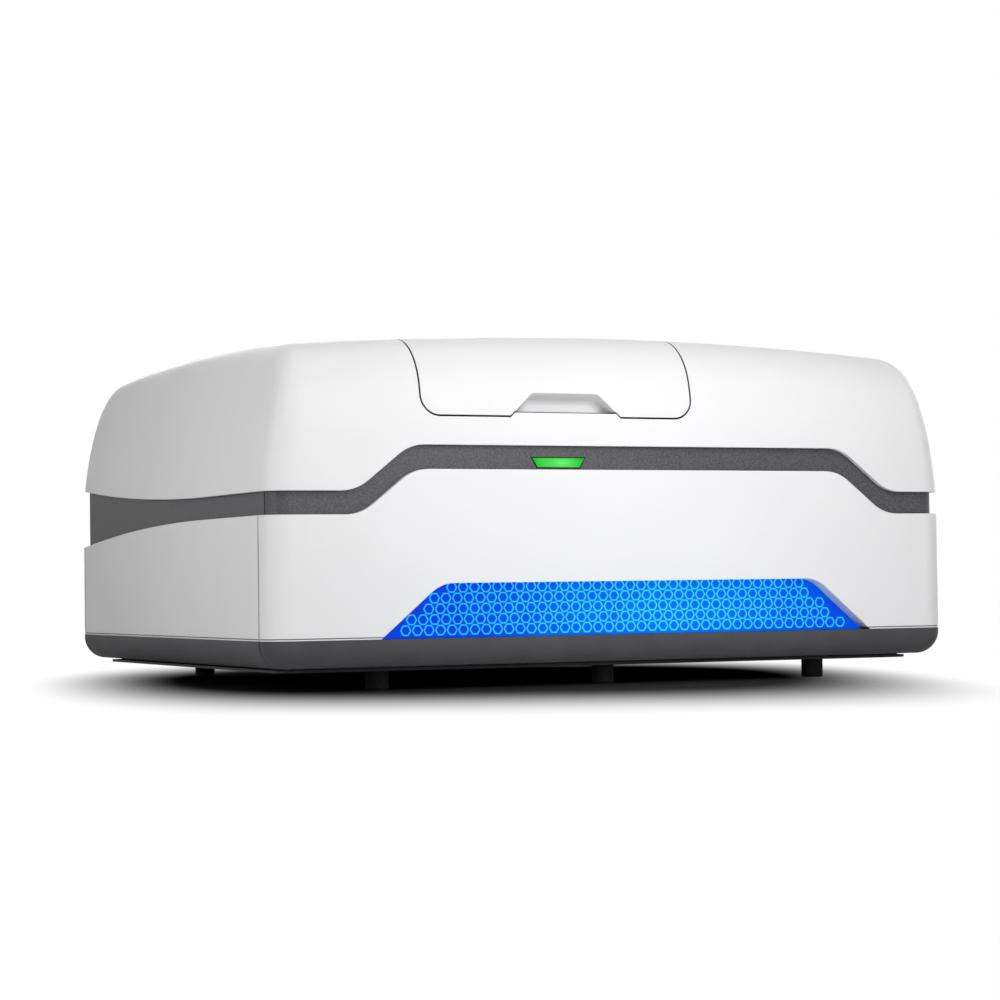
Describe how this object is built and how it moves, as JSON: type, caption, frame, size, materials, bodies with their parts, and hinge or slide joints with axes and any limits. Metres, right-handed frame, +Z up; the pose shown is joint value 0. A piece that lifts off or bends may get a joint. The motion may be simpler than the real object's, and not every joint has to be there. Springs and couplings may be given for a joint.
{
  "type": "cell imaging system",
  "caption": "Benchtop cell imaging system: white housing on a dark tray, hinged loading door, blue light window and an inverted microscope with a two-axis stage inside.",
  "frame": {"origin": "centre of the footprint at the level of the bench, under the six feet", "axes": "+X to the right seen from the front, -Y towards the user, +Z up"},
  "size_m": [0.88, 0.752, 0.416],
  "materials": {
    "white_paint": "semi-gloss white paint",
    "grey_frame": "fine-grained dark grey moulding",
    "dark_tray": "satin charcoal moulding",
    "black_steel": "black powder coat",
    "foot_rubber": "black rubber",
    "blue_diffuser": "backlit blue acrylic",
    "green_lens": "lit green lens",
    "circuit_board": "green circuit board",
    "dark_moulding": "dark grey moulding",
    "steel": "machined steel",
    "anodised_plate": "bead-blasted aluminium",
    "black_anodised": "black anodised aluminium",
    "chip_plastic": "pale moulded plastic",
    "objective_brass": "turned brass",
    "module_metal": "grey painted housing",
    "black_plastic": "black moulded plastic"
  },
  "bodies": {
    "housing": {"front_panel": "white_paint", "rear_panel": "white_paint", "side_panel_left": "white_paint", "side_panel_right": "white_paint", "lid_shell": "white_paint", "front_band": "grey_frame", "rear_band": "grey_frame", "tray_front": "dark_tray", "tray_rear": "dark_tray", "tray_left": "dark_tray", "tray_right": "dark_tray", "base_plate": "black_steel", "chassis_frame": "black_steel", "foot_front_left": "foot_rubber", "foot_front_middle": "foot_rubber", "foot_front_right": "foot_rubber", "foot_rear_left": "foot_rubber", "foot_rear_middle": "foot_rubber", "foot_rear_right": "foot_rubber", "door_bumpers": "foot_rubber", "door_seal": "foot_rubber", "isolators": "foot_rubber", "light_panel": "blue_diffuser", "status_lens": "green_lens", "light_boards": "circuit_board", "controller_board": "circuit_board", "loading_bay": "dark_moulding", "hinge_brackets": "steel", "hinge_pins": "steel", "y_rails": "steel", "rear_screws": "steel", "optical_base": "anodised_plate", "stage_posts": "anodised_plate", "stage_base": "anodised_plate", "focus_column": "anodised_plate", "mirror_block": "black_anodised", "filter_motor": "black_anodised", "tube_lens": "black_anodised", "camera": "module_metal", "laser_module": "module_metal", "power_supply": "module_metal", "fan_frame_left": "black_plastic", "fan_frame_right": "black_plastic", "power_inlet": "black_plastic", "switch_frame": "black_plastic", "data_ports": "black_plastic"},
    "door": {"access_door": "white_paint", "door_liner": "dark_moulding"},
    "y_stage": {"y_carriage": "anodised_plate", "x_rails": "steel"},
    "x_stage": {"x_carriage": "anodised_plate", "clamp_pin": "steel", "sample_chip": "chip_plastic"},
    "chip_clamp": {"chip_clamp": "black_anodised"},
    "focus": {"focus_carriage": "anodised_plate", "objective": "objective_brass"},
    "filter_wheel": {"filter_wheel": "black_anodised"},
    "fan_rotor_left": {"fan_rotor_left": "black_plastic"},
    "fan_rotor_right": {"fan_rotor_right": "black_plastic"},
    "power_switch": {"power_switch": "black_plastic"}
  },
  "joints": [
    {"name": "door_hinge", "type": "hinge", "parent": "housing", "child": "door", "pos_m": [-0.083, -0.163, 0.40529], "axis": [-1, 0, 0], "range_deg": [0, 75]},
    {"name": "stage_y_slide", "type": "slide", "parent": "housing", "child": "y_stage", "axis": [0, 1, 0], "range_m": [-0.02, 0.02]},
    {"name": "stage_x_slide", "type": "slide", "parent": "y_stage", "child": "x_stage", "axis": [1, 0, 0], "range_m": [-0.06, 0.06]},
    {"name": "clamp_hinge", "type": "hinge", "parent": "x_stage", "child": "chip_clamp", "pos_m": [-0.083, -0.204, 0.283], "axis": [-1, 0, 0], "range_deg": [0, 100]},
    {"name": "focus_slide", "type": "slide", "parent": "housing", "child": "focus", "axis": [0, 0, 1], "range_m": [-0.008, 0]},
    {"name": "filter_wheel_spin", "type": "hinge", "parent": "housing", "child": "filter_wheel", "pos_m": [-0.128, -0.231, 0.15], "axis": [1, 0, 0], "continuous": true},
    {"name": "fan_left_spin", "type": "hinge", "parent": "housing", "child": "fan_rotor_left", "pos_m": [0.15, 0.361, 0.115], "axis": [0, 1, 0], "continuous": true},
    {"name": "fan_right_spin", "type": "hinge", "parent": "housing", "child": "fan_rotor_right", "pos_m": [0.262, 0.361, 0.115], "axis": [0, 1, 0], "continuous": true},
    {"name": "power_rocker", "type": "hinge", "parent": "housing", "child": "power_switch", "pos_m": [-0.284, 0.3637, 0.115], "axis": [1, 0, 0], "range_deg": [-10, 10]}
  ]
}
